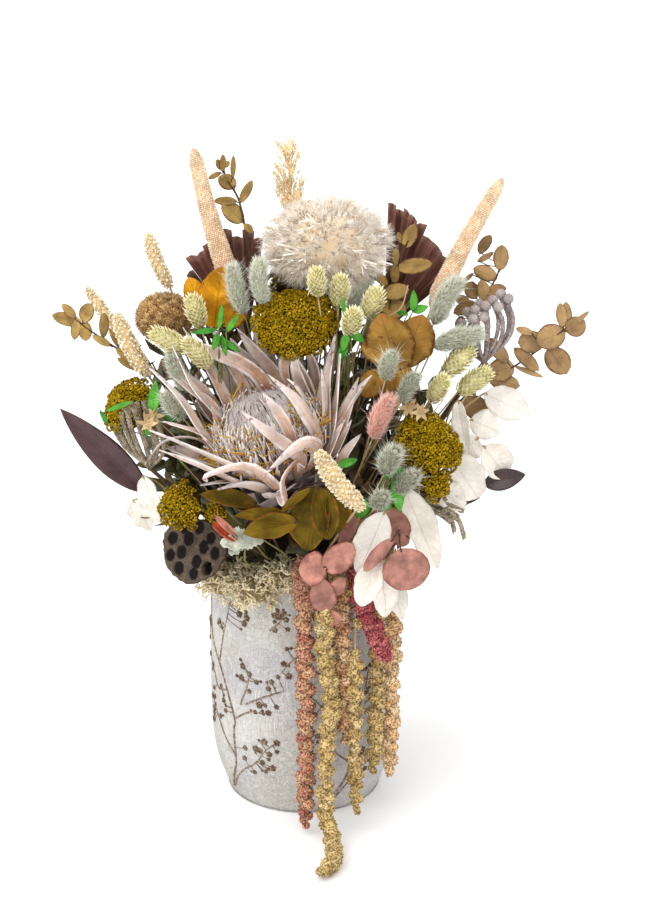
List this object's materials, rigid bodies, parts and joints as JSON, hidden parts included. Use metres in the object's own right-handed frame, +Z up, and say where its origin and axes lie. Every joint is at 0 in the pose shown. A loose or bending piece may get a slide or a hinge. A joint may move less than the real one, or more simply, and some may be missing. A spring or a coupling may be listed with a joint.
{
  "type": "dried flower arrangement",
  "caption": "Dried flower arrangement with a large protea, seed heads, leaves and hanging tails, in a straight ceramic vase with raised berry branches.",
  "frame": {"origin": "centre of the vase's base on the surface it stands on", "axes": "+Z up along the vase's axis, -Y towards the arrangement's front, +X to its right in the front view"},
  "size_m": [0.4751, 0.3538, 0.6017],
  "materials": {
    "ceramic": "matt whitewash over grey",
    "foam": "dry crumbly",
    "moss": "matt, dry",
    "protea_bract": "matt, dry",
    "protea_floret": "matt, dry",
    "protea_stem": "matt, dry",
    "puff": "matt, dry",
    "millet": "matt, dry",
    "setaria": "matt, dry",
    "plume": "matt, dry",
    "palm": "matt, dry",
    "eucalyptus": "matt, dry",
    "cluster": "matt, dry",
    "phalaris": "matt, dry",
    "lagurus": "matt, dry",
    "pink_lagurus": "matt, dry",
    "yarrow": "matt, dry",
    "amber_leaf": "satin",
    "dark_leaf": "satin",
    "brunia": "matt, dry",
    "white_leaf": "matt, dry",
    "pink_leaf": "matt, dry",
    "olive_leaf": "matt, dry",
    "lotus": "matt, dry",
    "peach_tail": "matt, dry",
    "gold_tail": "matt, dry",
    "magenta_tail": "matt, dry",
    "green_leaf": "matt, dry"
  },
  "bodies": {
    "root": {"amaranth_gold": "gold_tail", "amaranth_magenta": "magenta_tail", "amaranth_olive": "gold_tail", "amaranth_pair": "peach_tail", "amaranth_peach": "peach_tail", "amber_leaf_left": "amber_leaf", "amber_leaf_right": "amber_leaf", "brown_cluster": "cluster", "brunia_left": "brunia", "brunia_low": "brunia", "brunia_right": "brunia", "dark_leaf_left": "dark_leaf", "dark_leaf_right": "dark_leaf", "eucalyptus_back": "eucalyptus", "eucalyptus_left": "eucalyptus", "eucalyptus_middle": "eucalyptus", "eucalyptus_right": "eucalyptus", "eucalyptus_top_left": "eucalyptus", "eucalyptus_top_right": "eucalyptus", "feather_puff": "puff", "floral_foam": "foam", "greens_back": "green_leaf", "greens_front": "green_leaf", "greens_left": "green_leaf", "lagurus_back": "lagurus", "lagurus_back_left": "lagurus", "lagurus_centre": "lagurus", "lagurus_grey": "lagurus", "lagurus_left": "lagurus", "lagurus_pink": "pink_lagurus", "lagurus_right": "lagurus", "lotus_pod": "lotus", "millet_left": "millet", "millet_right": "millet", "moss_back": "moss", "moss_front": "moss", "olive_leaves": "olive_leaf", "palm_left": "palm", "palm_right": "palm", "phalaris_centre": "phalaris", "phalaris_left": "phalaris", "phalaris_right": "phalaris", "pink_eucalyptus_left": "pink_leaf", "pink_eucalyptus_right": "pink_leaf", "protea_bracts": "protea_bract", "protea_florets": "protea_floret", "protea_stem": "protea_stem", "setaria_front": "setaria", "setaria_left": "setaria", "straw_plume": "plume", "vase": "ceramic", "white_leaves_back": "white_leaf", "white_leaves_front": "white_leaf", "white_leaves_low": "white_leaf", "white_leaves_right": "white_leaf", "yarrow_back": "yarrow", "yarrow_centre": "yarrow", "yarrow_left": "yarrow", "yarrow_low": "yarrow", "yarrow_right": "yarrow"}
  },
  "joints": []
}
